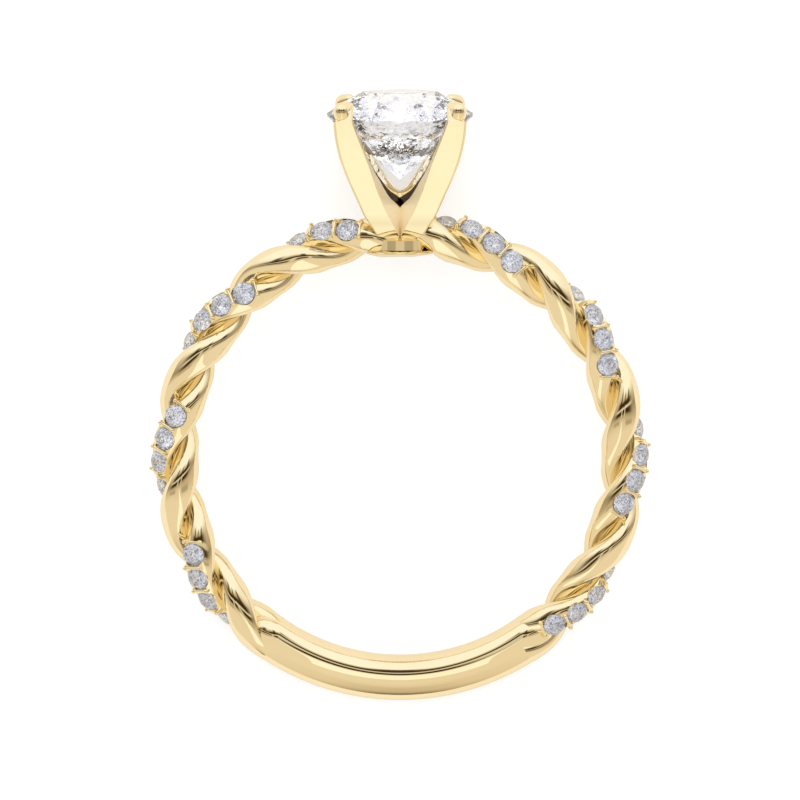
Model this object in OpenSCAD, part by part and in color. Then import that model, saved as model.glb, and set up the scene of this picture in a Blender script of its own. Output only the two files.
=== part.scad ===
// Solitaire ring with a two-strand twisted shank, lying on its side as it rests.
// Every piece is drawn in the worn frame first: X to the right, Y up through the head, Z along the finger.
// lay_down() then turns the whole ring onto its side, with the finger axis nearly upright.
// Angles round the shank are counted clockwise from the head, as seen from the front.

/* [Finger] */
// Inside diameter of the ring
finger_d = 17.3; // [17:0.1:17.6]
// Radius of the dome that rounds the inside across its width
comfort_r = 2.0; // [1.8:0.1:3]

/* [Twist] */
// Radius of the circle that the two strands twist about
twist_line_r = 9.62; // [9.6:0.01:9.7]
// Distance from that circle to the middle of each strand
twist_swing = 0.47; // [0.44:0.01:0.5]
// Half thickness of a strand, towards and away from the twist's middle
strand_thin = 0.55; // [0.52:0.01:0.58]
// Half width of a strand, across that thickness
strand_wide = 0.7; // [0.66:0.01:0.72]

/* [Plain band] */
// Half of the arc that the plain band covers at the bottom
plain_half_arc = 36; // [35:1:38]
// Half width of the plain band
plain_half_w = 0.93; // [0.9:0.01:0.95]
// Outside radius of the plain band
plain_r = 10.62; // [10.5:0.01:10.7]

/* [Accent stones] */
// Diameter of an accent stone
accent_d = 0.97; // [0.9:0.01:1]
// Angle between neighbouring stones in a row
accent_pitch = 5.95; // [5.9:0.01:6]
// Angle by which a row starts ahead of its crest
accent_shift = -0.75; // [-1:0.05:-0.5]
// Depth of a stone's girdle below the strand's surface
accent_sink = 0.15; // [0.12:0.01:0.18]
// Radius of a bead at the strand's surface
bead_r = 0.085; // [0.075:0.005:0.085]
// Height of a bead above the girdle of its stone
bead_top = 0.16; // [0.13:0.01:0.18]
// Distance from the middle of the row to a bead
bead_side = 0.29; // [0.29:0.01:0.31]

/* [Centre stone] */
// Diameter of the centre stone
stone_d = 6.2; // [6:0.05:6.3]
// Height of the girdle above the ring's centre
girdle_y = 14.7; // [14.6:0.05:14.8]

/* [Head] */
// Radius of the base collet
collet_r = 1.2; // [1.15:0.01:1.25]
// Radius of the rounded lip below the collet
lip_r = 1.6; // [1.55:0.01:1.65]
// Height of the collet's upper edge above the ring's centre
collet_top = 9.43; // [9.4:0.01:9.46]
// Height of the lip's underside above the ring's centre
collet_foot = 8.79; // [8.75:0.01:8.82]
// Radius of a claw's rounded tip
claw_r = 0.37; // [0.36:0.01:0.39]

/* [Fit] */
// Gap between a stone and the gold round it
stone_gap = 0.03; // [0.02:0.01:0.04]

/* [Hidden] */
finger_r = finger_d / 2;
// Full turns that the strands would make in a whole circle, and where the set strand first stands outermost
twist_turns = 10;
first_crest = 18;
strand_sides = 10;
strand_sections = 39;
// What makes the area of a many-sided section that of the oval it stands for
strand_grow = sqrt(2 * PI / strand_sides / sin(360 / strand_sides));

// One row for each stone of a full group: place in the row, and lean of its table from outward to the front.
ROW = [[-1, 16], [0, 45], [1, 56], [2, 67]];
// Groups of stones, counted round the shank from the first crest. The head covers one stone of group -1.
STONES = [for (group = [-4:3], s = ROW) if (!(group == -1 && s[0] == 2)) [group, s[0], s[1]]];

function two_digits(n) = n < 10 ? str("0", n) : str(n);
function accent_name(i) = str("accent_stone_", two_digits(i + 1));

// Sections of one prong from the collet up. Columns: height, outer face, where the front face ends, side of the
// notch, how far back that side starts, and the inmost corner. All but the height are distances from the head's
// axis, and a negative one lies beyond it.
PRONG = [
    [9.40, 0.60, 0.05, -0.05, 0.40, -0.30],
    [9.67, 0.92, 0.07, -0.05, 0.52, -0.30],
    [10.04, 1.22, 0.24, -0.05, 0.70, -0.40],
    [10.50, 1.50, 0.475, -0.05, 0.92, -0.60],
    [10.90, 1.68, 0.665, 0.05, 1.08, -0.60],
    [11.25, 1.83, 0.80, 0.40, 1.20, -0.37],
    [11.60, 1.98, 0.94, 0.63, 1.32, 0.20],
    [12.00, 2.16, 1.07, 0.84, 1.47, 0.53],
    [12.45, 2.34, 1.21, 1.09, 1.63, 0.86],
    [13.10, 2.56, 1.43, 1.38, 1.86, 1.20],
    [13.90, 2.73, 1.73, 1.70, 2.10, 1.68],
    [14.60, 2.80, 1.98, 1.95, 2.28, 2.21],
];
prong_corner = 0.16;
// Centres of the two balls in a claw, as [distance along X and Z, height], and the height of the claw's foot
claw_outer = [2.45, 14.84];
claw_inner = [2.31, 15.12];
claw_foot = 14.5;

// Outlines of the lip and of the collet's dome, as steps from their radius and height
LIP = [[-0.27, 0], [-0.07, 0.05], [0, 0.12], [-0.1, 0.19]];
lip_tall = 0.23;
DOME = [[0, 0], [-0.2, 0.09], [-0.4, 0.15], [-0.64, 0.23], [-0.67, 0.5]];

// Room round a small stone in its opening, and how far that opening runs below and above the girdle
opening_room = 0.045;
opening_ends = [-0.06, 0.64];

// Half outline of the plain band as [share of the half width, depth below the outside], from the inside out.
PLAIN = [[0.52, 2.1], [0.7, 1.8], [0.86, 1.62], [0.946, 1.45], [1, 1.18], [0.966, 1], [0.87, 0.78], [0.75, 0.58],
    [0.6, 0.36], [0.42, 0.16], [0.2, 0.03]];
// Ends of the plain band, as [angle from where its full size starts, share of the full size].
PLAIN_ENDS = [[-5.3, 0.6], [-3.7, 0.8], [-1.9, 0.93], [0.3, 1]];

// How the ring lies: on the centre stone's girdle and on the plain band's side.
plain_edge_r = plain_r - PLAIN[4][1];
girdle_share = 0.012;
lie_tilt = atan((stone_d / 2 - plain_half_w) / (girdle_y - girdle_share * stone_d + plain_edge_r));
lie_lift = plain_half_w + plain_edge_r * tan(lie_tilt);

function phase(angle) = twist_turns * (angle - first_crest);
function on_ring(r, angle, z) = [r * sin(angle), r * cos(angle), z];
// Middle of a strand as [radius, z]. turn is 0 for the set strand and 180 for the plain one.
function strand_mid(angle, turn) =
    let (t = phase(angle) + turn) [twist_line_r + twist_swing * cos(t), twist_swing * sin(t)];
function strand_ring(angle, turn) =
    let (t = phase(angle) + turn, mid = strand_mid(angle, turn))
    [for (k = [0:strand_sides - 1])
        let (a = 360 * (k + 0.5) / strand_sides,
            n = strand_grow * strand_thin * cos(a), m = strand_grow * strand_wide * sin(a))
        on_ring(mid[0] + n * cos(t) - m * sin(t), angle, mid[1] + n * sin(t) + m * cos(t))];

// Point of the set strand's surface whose outward direction leans by lean, as [radius, z].
function seat_rz(angle, lean) =
    let (t = phase(angle), a = lean - t, mid = strand_mid(angle, 0),
        n = strand_thin * cos(a), m = strand_wide * sin(a), len = norm([n, m]),
        pn = strand_thin * n / len, pm = strand_wide * m / len)
    [mid[0] + pn * cos(t) - pm * sin(t), mid[1] + pn * sin(t) + pm * cos(t)];
function seat_angle(group, place) =
    first_crest + 360 / twist_turns * group + accent_shift + accent_pitch * place;
function row_lean(place) = lookup(place, ROW);
function out_dir(angle, lean) = on_ring(cos(lean), angle, sin(lean));
function seat_point(group, place, sink) =
    let (angle = seat_angle(group, place), lean = row_lean(place), rz = seat_rz(angle, lean))
    on_ring(rz[0], angle, rz[1]) - sink * out_dir(angle, lean);
function unit(v) = v / norm(v);

module at_seat(group, place, sink) {
    n = out_dir(seat_angle(group, place), row_lean(place));
    ahead = seat_point(group, place + 0.1, sink) - seat_point(group, place - 0.1, sink);
    u = unit(ahead - (ahead * n) * n);
    v = cross(n, u);
    p = seat_point(group, place, sink);
    multmatrix([[u[0], v[0], n[0], p[0]], [u[1], v[1], n[1], p[1]], [u[2], v[2], n[2], p[2]]]) children();
}

module lay_down() rotate([lie_tilt, 0, 0]) translate([0, 0, lie_lift]) children();

// A closed body through rings of points that run anticlockwise about the way they advance.
module skin(rings) {
    n = len(rings[0]);
    last = len(rings) - 1;
    polyhedron(
        points = [for (ring = rings) each ring],
        faces = concat(
            [[for (k = [0:n - 1]) k]],
            [for (i = [0:last - 1], k = [0:n - 1])
                [i * n + k, (i + 1) * n + k, (i + 1) * n + (k + 1) % n, i * n + (k + 1) % n]],
            [[for (k = [n - 1:-1:0]) last * n + k]]),
        convexity = 10);
}

// The plain strand's sections stand between the set strand's, so that no two edges cross.
module strand(turn) {
    step = (180 - plain_half_arc + 3) / strand_sections;
    shift = turn / 360;
    skin([for (i = [-strand_sections:strand_sections - 2 * shift]) strand_ring(step * (i + shift), turn)]);
}

module plain_band() {
    half_turn = 180 - plain_half_arc;
    arcs = concat([for (e = PLAIN_ENDS) [half_turn + e[0], e[1]]],
        [for (a = [half_turn + 6:6:354 - half_turn]) [a, 1]],
        [for (i = [len(PLAIN_ENDS) - 1:-1:0]) [360 - half_turn - PLAIN_ENDS[i][0], PLAIN_ENDS[i][1]]]);
    skin([for (a = arcs)
        let (side = [for (p = PLAIN)
            [twist_line_r + (plain_r - p[1] - twist_line_r) * a[1], plain_half_w * p[0] * a[1]]])
        concat(
            [for (p = side) on_ring(p[0], a[0], -p[1])],
            [for (i = [len(side) - 1:-1:0]) on_ring(side[i][0], a[0], side[i][1])])]);
}

// What the finger takes out: a barrel, narrowest at the middle of the ring's width.
module finger_hole() {
    reach = 0.84 * comfort_r;
    arc = [for (i = [-4:4]) let (z = reach * i / 4) [finger_r + comfort_r - sqrt(comfort_r^2 - z^2), z]];
    rotate(1.7) rotate_extrude($fn = 72)
        polygon(concat([[0, -3], [arc[0][0], -3]], arc, [[arc[len(arc) - 1][0], 3], [0, 3]]));
}

function prong_ring(s) =
    let (h = s[0], out = s[1], front = s[2], inner = s[3], back = s[4], core = s[5], c = prong_corner)
    [[front, h, out], [out - c, h, out], [out, h, out - c], [out, h, front], [back, h, inner],
        [core, h, core], [inner, h, back]];

module claw() {
    hull() {
        translate([claw_outer[0], claw_foot, claw_outer[0]]) rotate([-90, 0, 0])
            cylinder(r = claw_r - 0.05, h = 0.1, $fn = 10);
        translate([claw_outer[0], claw_outer[1], claw_outer[0]]) sphere(r = claw_r - 0.03, $fn = 10);
        translate([claw_inner[0], claw_inner[1], claw_inner[0]]) sphere(r = claw_r, $fn = 10);
    }
}

// Half outline of the collet from its underside up, as [distance from the head's axis, height]
function collet_outline() = concat(
    [[0, collet_foot]],
    [for (p = LIP) [lip_r + p[0], collet_foot + p[1]]],
    [[collet_r, collet_foot + lip_tall]],
    [for (p = DOME) [collet_r + p[0], collet_top + p[1]]],
    [[0, collet_top + DOME[len(DOME) - 1][1]]]);

// The collet with its lip and domed top, and the four prongs that grow together above it
module head() {
    for (quarter = [0:3]) rotate([0, 90 * quarter, 0]) {
        skin([for (s = PRONG) prong_ring(s)]);
        claw();
    }
    rotate([-90, 0, 0]) rotate_extrude($fn = 24) polygon(collet_outline());
}

// Places of the bead pairs: before, between and after the stones of a group.
function group_last(group) = group == -1 ? 1 : 2;
module bead_pairs() {
    for (group = [-4:3], half = [0:group_last(group) + 2], side = [-1, 1])
        at_seat(group, half - 1.5, accent_sink)
            translate([0, side * bead_side, 0]) hull() {
                translate([0, 0, -0.25]) cylinder(r = bead_r + 0.01, h = 0.2, $fn = 5);
                cylinder(r1 = bead_r, r2 = bead_r * 0.75, h = bead_top, $fn = 5);
            }
}

// Facets of a round cut stone with its table up +Z and its girdle at z = 0.
module brilliant(d, gap) {
    r = d / 2 + gap;
    grow = r / (d / 2);
    table = 0.57 * d / 2 * grow;
    crown = 0.15 * d * grow;
    edge = girdle_share * d;
    deep = 0.435 * d * grow + edge;
    mid_h = 0.42 * crown;
    mid_r = (r - (mid_h - edge) * (r - table) / (crown - edge)) / cos(22.5);
    low_r = 0.26 * r;
    low_h = -deep + (deep - edge) * low_r * cos(22.5) / r;
    function at(rad, a, h) = [rad * cos(a), rad * sin(a), h];
    points = concat(
        [for (i = [0:7]) at(table, 45 * i, crown)],
        [for (i = [0:7]) at(mid_r, 45 * i + 22.5, mid_h)],
        [for (i = [0:15]) at(r, 22.5 * i, edge)],
        [for (i = [0:15]) at(r, 22.5 * i, -edge)],
        [for (i = [0:7]) at(low_r, 45 * i + 22.5, low_h)],
        [[0, 0, -deep]]);
    M = 8;
    G = 16;
    B = 32;
    L = 48;
    polyhedron(points = points, faces = concat(
        [[for (i = [7:-1:0]) i]],
        [for (i = [0:7]) [i, (i + 1) % 8, M + i]],
        [for (i = [0:7]) [i, M + i, G + 2 * i, M + (i + 7) % 8]],
        [for (i = [0:7]) [M + i, G + 2 * i + 1, G + 2 * i]],
        [for (i = [0:7]) [M + i, G + (2 * i + 2) % 16, G + 2 * i + 1]],
        [for (i = [0:15]) [G + i, G + (i + 1) % 16, B + (i + 1) % 16, B + i]],
        [for (i = [0:7]) [L + i, B + 2 * i, B + 2 * i + 1]],
        [for (i = [0:7]) [L + i, B + 2 * i + 1, B + (2 * i + 2) % 16]],
        [for (i = [0:7]) [56, L + (i + 7) % 8, B + 2 * i, L + i]]));
}

// A small stone with a table, eight crown facets, a girdle and eight pavilion facets.
module small_stone(d, gap) {
    r = d / 2 + gap;
    rings = [[1, -0.04], [1, 0.04], [0.57, 0.3]];
    polyhedron(
        points = concat([[0, 0, -0.86 * r]],
            [for (s = rings, k = [0:7]) r * [s[0] * cos(45 * k), s[0] * sin(45 * k), s[1]]]),
        faces = concat(
            [for (k = [0:7]) [0, 1 + k, 1 + (k + 1) % 8]],
            [for (i = [1, 9], k = [0:7]) [i + k, i + 8 + k, i + 8 + (k + 1) % 8, i + (k + 1) % 8]],
            [[for (k = [7:-1:0]) 17 + k]]));
}

module accent_stone(i) {
    color("lavender") lay_down()
        at_seat(STONES[i][0], STONES[i][1], accent_sink) small_stone(accent_d, 0);
}

module center_stone() {
    color("aliceblue") lay_down() translate([0, girdle_y, 0]) rotate([-90, 0, 0]) brilliant(stone_d, 0);
}

module stone_openings() {
    for (s = STONES) at_seat(s[0], s[1], accent_sink) translate([0, 0, opening_ends[0]])
        cylinder(r = accent_d / 2 + opening_room, h = opening_ends[1] - opening_ends[0], $fn = 8);
}

module stone_clearances() {
    for (s = STONES) at_seat(s[0], s[1], accent_sink) small_stone(accent_d, stone_gap);
    translate([0, girdle_y, 0]) rotate([-90, 0, 0]) brilliant(stone_d, stone_gap);
}

module ring_gold() {
    color("khaki") lay_down() difference() {
        union() {
            difference() {
                union() {
                    strand(0);
                    strand(180);
                    plain_band();
                }
                stone_openings();
                finger_hole();
            }
            difference() {
                bead_pairs();
                finger_hole();
            }
            head();
        }
        stone_clearances();
    }
}

ring_gold();
center_stone();
for (i = [0:len(STONES) - 1]) accent_stone(i);
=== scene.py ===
from math import atan, cos, hypot, pi, radians, sin, sqrt, tan

import bmesh
import bpy
from bpy.props import FloatProperty, FloatVectorProperty, IntProperty, PointerProperty
from mathutils import Matrix, Vector


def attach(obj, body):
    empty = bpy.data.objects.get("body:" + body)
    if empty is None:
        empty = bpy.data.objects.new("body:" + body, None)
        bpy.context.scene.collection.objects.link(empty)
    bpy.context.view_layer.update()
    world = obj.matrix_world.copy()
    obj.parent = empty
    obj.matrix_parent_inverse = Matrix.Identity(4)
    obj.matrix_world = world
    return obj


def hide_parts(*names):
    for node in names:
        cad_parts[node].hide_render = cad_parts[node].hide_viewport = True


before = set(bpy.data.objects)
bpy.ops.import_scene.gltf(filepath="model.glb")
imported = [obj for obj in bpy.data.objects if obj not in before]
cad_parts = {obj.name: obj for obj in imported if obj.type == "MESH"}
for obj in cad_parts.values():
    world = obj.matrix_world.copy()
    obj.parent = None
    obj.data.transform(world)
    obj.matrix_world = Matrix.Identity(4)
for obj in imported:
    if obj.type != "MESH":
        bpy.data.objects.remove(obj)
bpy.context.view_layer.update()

bl_info = {
    "name": "Twisted Solitaire Ring",
    "version": (1, 0, 0),
    "blender": (4, 5, 0),
    "location": "3D View > Sidebar > Ring",
    "description": "Dresses the solid model of a gold solitaire ring with a two-strand twisted shank",
    "category": "Object",
}

MM = 0.001

# Place of each stone in a full row, counted from the crest, and how far its table leans from outward to the
# front.
ROW = ((-1, radians(16)), (0, radians(45)), (1, radians(56)), (2, radians(67)))
# Rows of stones round the shank, each with the place of its last stone. Row -1 ends early, under the head.
ROWS = {group: 1 if group == -1 else 2 for group in range(-4, 4)}

# Sections of a prong from the collet up, in millimetres: height, outer face, where the front face ends, side of
# the notch, how far back that side starts, and the inmost corner. All but the height are distances from the
# head's axis, and a negative one lies beyond it.
PRONG = (
    (9.40, 0.80, 0.05, -0.05, 0.40, -0.30),
    (9.67, 1.00, 0.07, -0.05, 0.52, -0.30),
    (10.04, 1.22, 0.24, -0.05, 0.70, -0.40),
    (10.50, 1.50, 0.475, -0.05, 0.92, -0.60),
    (10.90, 1.68, 0.665, 0.05, 1.08, -0.60),
    (11.25, 1.83, 0.80, 0.40, 1.20, -0.37),
    (11.60, 1.98, 0.94, 0.63, 1.32, 0.20),
    (12.00, 2.16, 1.07, 0.84, 1.47, 0.53),
    (12.45, 2.34, 1.21, 1.09, 1.63, 0.86),
    (13.10, 2.56, 1.43, 1.38, 1.86, 1.20),
    (13.90, 2.73, 1.73, 1.70, 2.10, 1.68),
    (14.60, 2.80, 1.98, 1.95, 2.28, 2.21),
)

# Steps in each rounded corner of a prong, the radii of its outermost corner and of the others in millimetres,
# and the share of a flat face that is a strip of its own beside each corner.
ARC_STEPS = 4
OUTER_CORNER, SOFT_CORNER = 0.07, 0.03
STRIP = 0.05
# Share of each bevel of the notch, from its outer edge, that is painted near black as painted shade, how little
# of it is left at the top, and its heights in millimetres.
SHADE_PAINT_SHARE = 0.6
SHADE_PAINT_LEAST = 0.04
SHADE_PAINT_HEIGHTS = (10.85, 12.9)
# Faces of the head, in the order of its materials: polished gold, painted shade near black, and satin gold.
POLISHED, SHADE_PAINT, SATIN = range(3)
# A claw, in millimetres: middle of its bulb with the bulb's half height, middle of the balls that end it over
# the stone's edge with their shares of the bulb's radius, and height and corners of its shoulder's foot.
BULB, BULB_HALF = (2.45, 14.98, 2.45), 0.42
TIP, TIP_SHARE, CORE_SHARE = (2.2, 15.17, 2.2), 0.75, 0.69
SHOULDER_FOOT = 14.55
SHOULDER = ((2.0, 2.74), (2.5, 2.74), (2.74, 2.5), (2.74, 2.0), (2.3, 1.97), (1.97, 2.3))
# The head's base, in millimetres. The lip: distance from its radius, and height above its foot. The dome on the
# collet: distance from the axis, and height above the collet's upper edge.
LIP = ((-0.27, 0), (-0.07, 0.05), (0, 0.12), (-0.1, 0.19))
LIP_TOP = 0.23
DOME = ((1.0, 0.09), (0.8, 0.15), (0.56, 0.23), (0.53, 0.5))

# Half outline of the plain band as (share of the half width, depth below the outside in millimetres), and the
# depth where it is widest.
PLAIN = ((0.0, 0.0), (0.2, 0.03), (0.42, 0.16), (0.6, 0.36), (0.75, 0.58), (0.87, 0.78), (0.966, 1.0),
         (1.0, 1.18), (0.99, 1.32), (0.946, 1.48), (0.86, 1.62), (0.72, 1.77), (0.52, 1.88), (0.27, 1.95),
         (0.0, 1.97))
PLAIN_EDGE = 1.18 * MM
# Degrees from the head where the plain band has its full size, and the step of its sections from there.
PLAIN_START = 144.6
PLAIN_STEP = 1.2
# Ends of the plain band: degrees back from where its full size starts, and the share of that size.
PLAIN_ENDS = ((6.4, 0.42), (5.6, 0.58), (4.5, 0.72), (3.2, 0.84), (1.7, 0.94), (0.0, 1.0))
# How far each strand runs on inside the plain band, and how finely it is divided.
STRAND_OVERLAP = radians(3)
STRAND_SIDES, STRAND_SECTIONS = 48, 560

# Seat of an accent stone, in millimetres: room round the stone, how far it opens outwards, and its sections as
# heights with shares of the outline. Its round part runs past the stone's middle by the angle on each side.
SEAT_ROOM = 0.035
SEAT_REACH = 0.9
SEAT_CUT = ((-0.5, 0.05), (-0.06, 1.0), (0.64, 1.0))
SEAT_ANGLE = radians(38)
SEAT_STEPS = 28
# A bead as shares of its radius with heights in millimetres, the section of a bar as shares of its half width
# with heights, and how much farther the outer bead of a pair stands from the middle of the row.
BEAD = ((0, -0.25), (1.15, -0.25), (1, 0.09), (0.93, 0.15), (0.7, 0.2), (0.36, 0.225), (0, 0.23))
BAR = ((-1.3, -0.25), (-1, 0.13), (-0.5, 0.165), (0.5, 0.165), (1, 0.13), (1.3, -0.25))
OUTER_BEAD = 0.1

# A cut stone, as shares of its diameter: half height of the girdle, and depth of the pavilion below it. Then
# the height of the upper girdle facets as a share of the crown's, and the radius where the lower ones end as a
# share of the stone's.
GIRDLE_SHARE = 0.012
PAVILION_SHARE = 0.435
UPPER_SHARE = 0.52
LOWER_SHARE = 0.24
REFRACTION = 2.0
# Values of a cell between which it turns from clear to painted sparkle, before the share of painted cells is
# taken off.
SPARKLE_PAINT_FROM, SPARKLE_PAINT_TO = 0.85, 1.15

# Points closer together than this are one.
MERGE = 0.0005 * MM
# Edges stay crisp where they turn by more than these angles.
SHARP_STRAND, SHARP_BAND, SHARP_HEAD, SHARP_BEADS = (radians(a) for a in (32, 60, 35, 50))


def size(name, description, millimetres):
    """A length that a user would change, with its default in millimetres."""
    return FloatProperty(name=name, description=description, default=millimetres * MM, min=0.0,
                         unit="LENGTH", subtype="DISTANCE", precision=5)


def angle(name, description, in_degrees):
    """An angle that a user would change, with its default in degrees."""
    return FloatProperty(name=name, description=description, default=radians(in_degrees), subtype="ANGLE")


def colour(name, description, default):
    """A colour that a user would change."""
    return FloatVectorProperty(name=name, description=description, default=default, min=0.0, max=1.0,
                               size=3, subtype="COLOR")


class ShankSizes(bpy.types.PropertyGroup):
    """Sizes of the twisted strands and the plain band."""

    finger_d: size("Finger Diameter", "Inside diameter of the ring", 17.3)
    comfort_r: size("Comfort Radius", "Radius of the dome that rounds the inside across its width", 2.0)
    line_r: size("Twist Line Radius", "Radius of the circle that the strands twist about", 9.62)
    swing: size("Twist Swing", "Distance from that circle to the middle of each strand", 0.47)
    thin: size("Half Thickness", "Half thickness of a strand", 0.55)
    wide: size("Half Width", "Half width of a strand", 0.7)
    turns: IntProperty(name="Turns", description="Turns of the strands in a whole circle", default=10, min=1)
    first_crest: angle("First Crest", "Where the set strand first stands outermost", 18)
    plain_half_arc: angle("Plain Half Arc", "Half of the arc that the plain band covers", 36)
    plain_half_w: size("Plain Half Width", "Half width of the plain band", 0.93)
    plain_r: size("Plain Radius", "Outside radius of the plain band", 10.62)


class StoneSizes(bpy.types.PropertyGroup):
    """Sizes of the stones and of the beads that hold the small ones."""

    accent_d: size("Accent Diameter", "Diameter of an accent stone", 0.97)
    pitch: angle("Accent Pitch", "Angle between neighbouring stones", 5.95)
    shift: angle("Accent Shift", "Angle from the crest of a row to its stone at place 0", -0.75)
    sink: size("Accent Sink", "Depth of an accent stone's girdle below the surface", 0.15)
    bead_side: size("Bead Side", "Distance from the middle of the row to a bead", 0.29)
    bead_r: size("Bead Radius", "Radius of a bead", 0.1)
    bar_w: size("Bar Width", "Width of the bar between two beads of a pair", 0.13)
    centre_d: size("Centre Diameter", "Diameter of the centre stone", 6.2)
    girdle_y: size("Girdle Height", "Height of the centre stone's girdle above the ring's centre", 14.7)


class HeadSizes(bpy.types.PropertyGroup):
    """Sizes of the head that holds the centre stone."""

    collet_r: size("Collet Radius", "Radius of the base collet", 1.2)
    lip_r: size("Lip Radius", "Radius of the rounded lip below the collet", 1.6)
    collet_top: size("Collet Top", "Height of the collet's upper edge above the ring's centre", 9.43)
    collet_foot: size("Collet Foot", "Height of the lip's underside above the ring's centre", 8.79)
    claw_r: size("Claw Radius", "Radius of a claw's bulb", 0.345)


class Finishes(bpy.types.PropertyGroup):
    """Colours of the metal, the stones and the floor."""

    gold: colour("Gold", "Colour of the polished gold", (0.96, 0.83, 0.55))
    gold_deep: colour("Deep Gold", "Colour of the gold where it is a touch deeper", (0.94, 0.80, 0.51))
    # This colour is painted shade: near black on the bevels of the notch between the prongs.
    painted_shade: colour("Recess", "Colour of the unpolished gold between the prongs", (0.045, 0.02, 0.012))
    satin: colour("Satin Gold", "Colour of the satin gold on the notches' side faces", (0.98, 0.84, 0.57))
    stone: colour("Stone", "Tint of the clear stones", (0.97, 0.97, 0.99))
    # The fire colour is painted sparkle: dark blue-grey cells where the stones' fire and reflections would show.
    fire: colour("Fire", "Tint of the small cells that stand for the stones' fire", (0.28, 0.31, 0.42))
    floor: colour("Floor", "Colour of the floor", (0.52, 0.52, 0.52))


class RingSettings(bpy.types.PropertyGroup):
    """Everything about the ring that a user would change."""

    shank: PointerProperty(type=ShankSizes)
    stones: PointerProperty(type=StoneSizes)
    head: PointerProperty(type=HeadSizes)
    looks: PointerProperty(type=Finishes)


def lie(ring):
    """The turn that lays the worn ring onto its side, on the stone's girdle and the plain band's edge."""
    edge_r = ring.shank.plain_r - PLAIN_EDGE
    stone = ring.stones
    tilt = atan((stone.centre_d / 2 - ring.shank.plain_half_w)
                / (stone.girdle_y - GIRDLE_SHARE * stone.centre_d + edge_r))
    lift = ring.shank.plain_half_w + edge_r * tan(tilt)
    return Matrix.Rotation(tilt, 4, "X") @ Matrix.Translation((0, 0, lift))


def barrel(shank, z):
    """Radius of the finger hole at a distance z from the middle of the ring's width."""
    return shank.finger_d / 2 + shank.comfort_r - sqrt(shank.comfort_r ** 2 - z ** 2)


def on_ring(r, turn, z):
    """A point at a distance from the finger's axis, an angle from the head and a place across the width."""
    return Vector((r * sin(turn), r * cos(turn), z))


def mm(*lengths):
    """Lengths in millimetres, as metres."""
    return [v * MM for v in lengths]


def add(tree, kind, inputs=None, **settings):
    """A node with its settings, whose inputs are linked to sockets or set to values."""
    node = tree.nodes.new(kind)
    for key, value in settings.items():
        setattr(node, key, value)
    for key, value in (inputs or {}).items():
        value = getattr(value, "socket", value)
        if isinstance(value, bpy.types.NodeSocket):
            tree.links.new(value, node.inputs[key])
        else:
            node.inputs[key].default_value = value
    return node


class Number:
    """A number in a node tree, on which Python's own signs add the nodes."""

    def __init__(self, tree, socket):
        self.tree, self.socket = tree, socket

    def math(self, operation, *others):
        """This number and others, put through a math node."""
        node = add(self.tree, "ShaderNodeMath", dict(enumerate((self, *others))), operation=operation)
        return Number(self.tree, node.outputs[0])

    def __add__(self, other):
        return self.math("ADD", other)

    def __sub__(self, other):
        return self.math("SUBTRACT", other)

    def __mul__(self, other):
        return self.math("MULTIPLY", other)

    def cos(self):
        return self.math("COSINE")

    def sin(self):
        return self.math("SINE")


def ranged(tree, value, within, onto=(0.0, 1.0), **settings):
    """A number taken from one range onto another."""
    labels = ("Value", "From Min", "From Max", "To Min", "To Max")
    return add(tree, "ShaderNodeMapRange", dict(zip(labels, (value, *within, *onto))), **settings).outputs[0]


def mixed(tree, share, first, second):
    """A colour between two others, each a socket or three numbers, by the share of the second."""
    ends = [c if isinstance(c, (Number, bpy.types.NodeSocket)) else (*c, 1) for c in (first, second)]
    return add(tree, "ShaderNodeMix", {0: share, 6: ends[0], 7: ends[1]}, data_type="RGBA").outputs[2]


def geometry_tree(name, sockets):
    """A geometry tree, its inputs by name, and the socket that takes its result."""
    tree = bpy.data.node_groups.new(name, "GeometryNodeTree")
    tree.interface.new_socket("Geometry", in_out="INPUT", socket_type="NodeSocketGeometry")
    tree.interface.new_socket("Geometry", in_out="OUTPUT", socket_type="NodeSocketGeometry")
    for label, kind in sockets.items():
        tree.interface.new_socket(label, in_out="INPUT", socket_type="NodeSocket" + kind)
    start, end = tree.nodes.new("NodeGroupInput"), tree.nodes.new("NodeGroupOutput")
    return tree, start.outputs, end.inputs[0]


def bake(name, tree, mesh, values, place):
    """Runs a tree on a mesh and keeps the result as one plain mesh, laid in its place."""
    made = bpy.data.objects.new(name, mesh)
    bpy.context.scene.collection.objects.link(made)
    modifier = made.modifiers.new(name, "NODES")
    modifier.node_group = tree
    for item in tree.interface.items_tree:
        if item.item_type == "SOCKET" and item.in_out == "INPUT" and item.name in values:
            modifier[item.identifier] = values[item.name]
    bpy.context.view_layer.update()
    solid = bpy.data.meshes.new_from_object(made.evaluated_get(bpy.context.evaluated_depsgraph_get()))
    made.modifiers.remove(modifier)
    made.data = solid
    bpy.data.meshes.remove(mesh)
    solid.name = name
    solid.transform(place)
    if not solid.polygons:
        raise RuntimeError(f"{name} came out empty")
    return made


def shade(mesh, sharp):
    """Smooth faces, with an edge kept crisp where it turns by more than the sharp angle."""
    mesh.shade_smooth()
    mesh.set_sharp_from_angle(angle=sharp)


def finished(made, slot, *nodes):
    """Ties a finished piece to the ring's body and hides the CAD nodes that it stands for. Its finish is not
    used.
    """
    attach(made, "root")
    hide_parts(*nodes)


def from_bmesh(name, bm, place, material, sharp=None):
    """A new object from a bmesh, with outward normals and its material."""
    bmesh.ops.remove_doubles(bm, verts=bm.verts, dist=MERGE)
    bmesh.ops.recalc_face_normals(bm, faces=bm.faces)
    mesh = bpy.data.meshes.new(name)
    bm.to_mesh(mesh)
    bm.free()
    mesh.transform(place)
    mesh.materials.append(material)
    if sharp is not None:
        shade(mesh, sharp)
    made = bpy.data.objects.new(name, mesh)
    bpy.context.scene.collection.objects.link(made)
    return made


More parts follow.
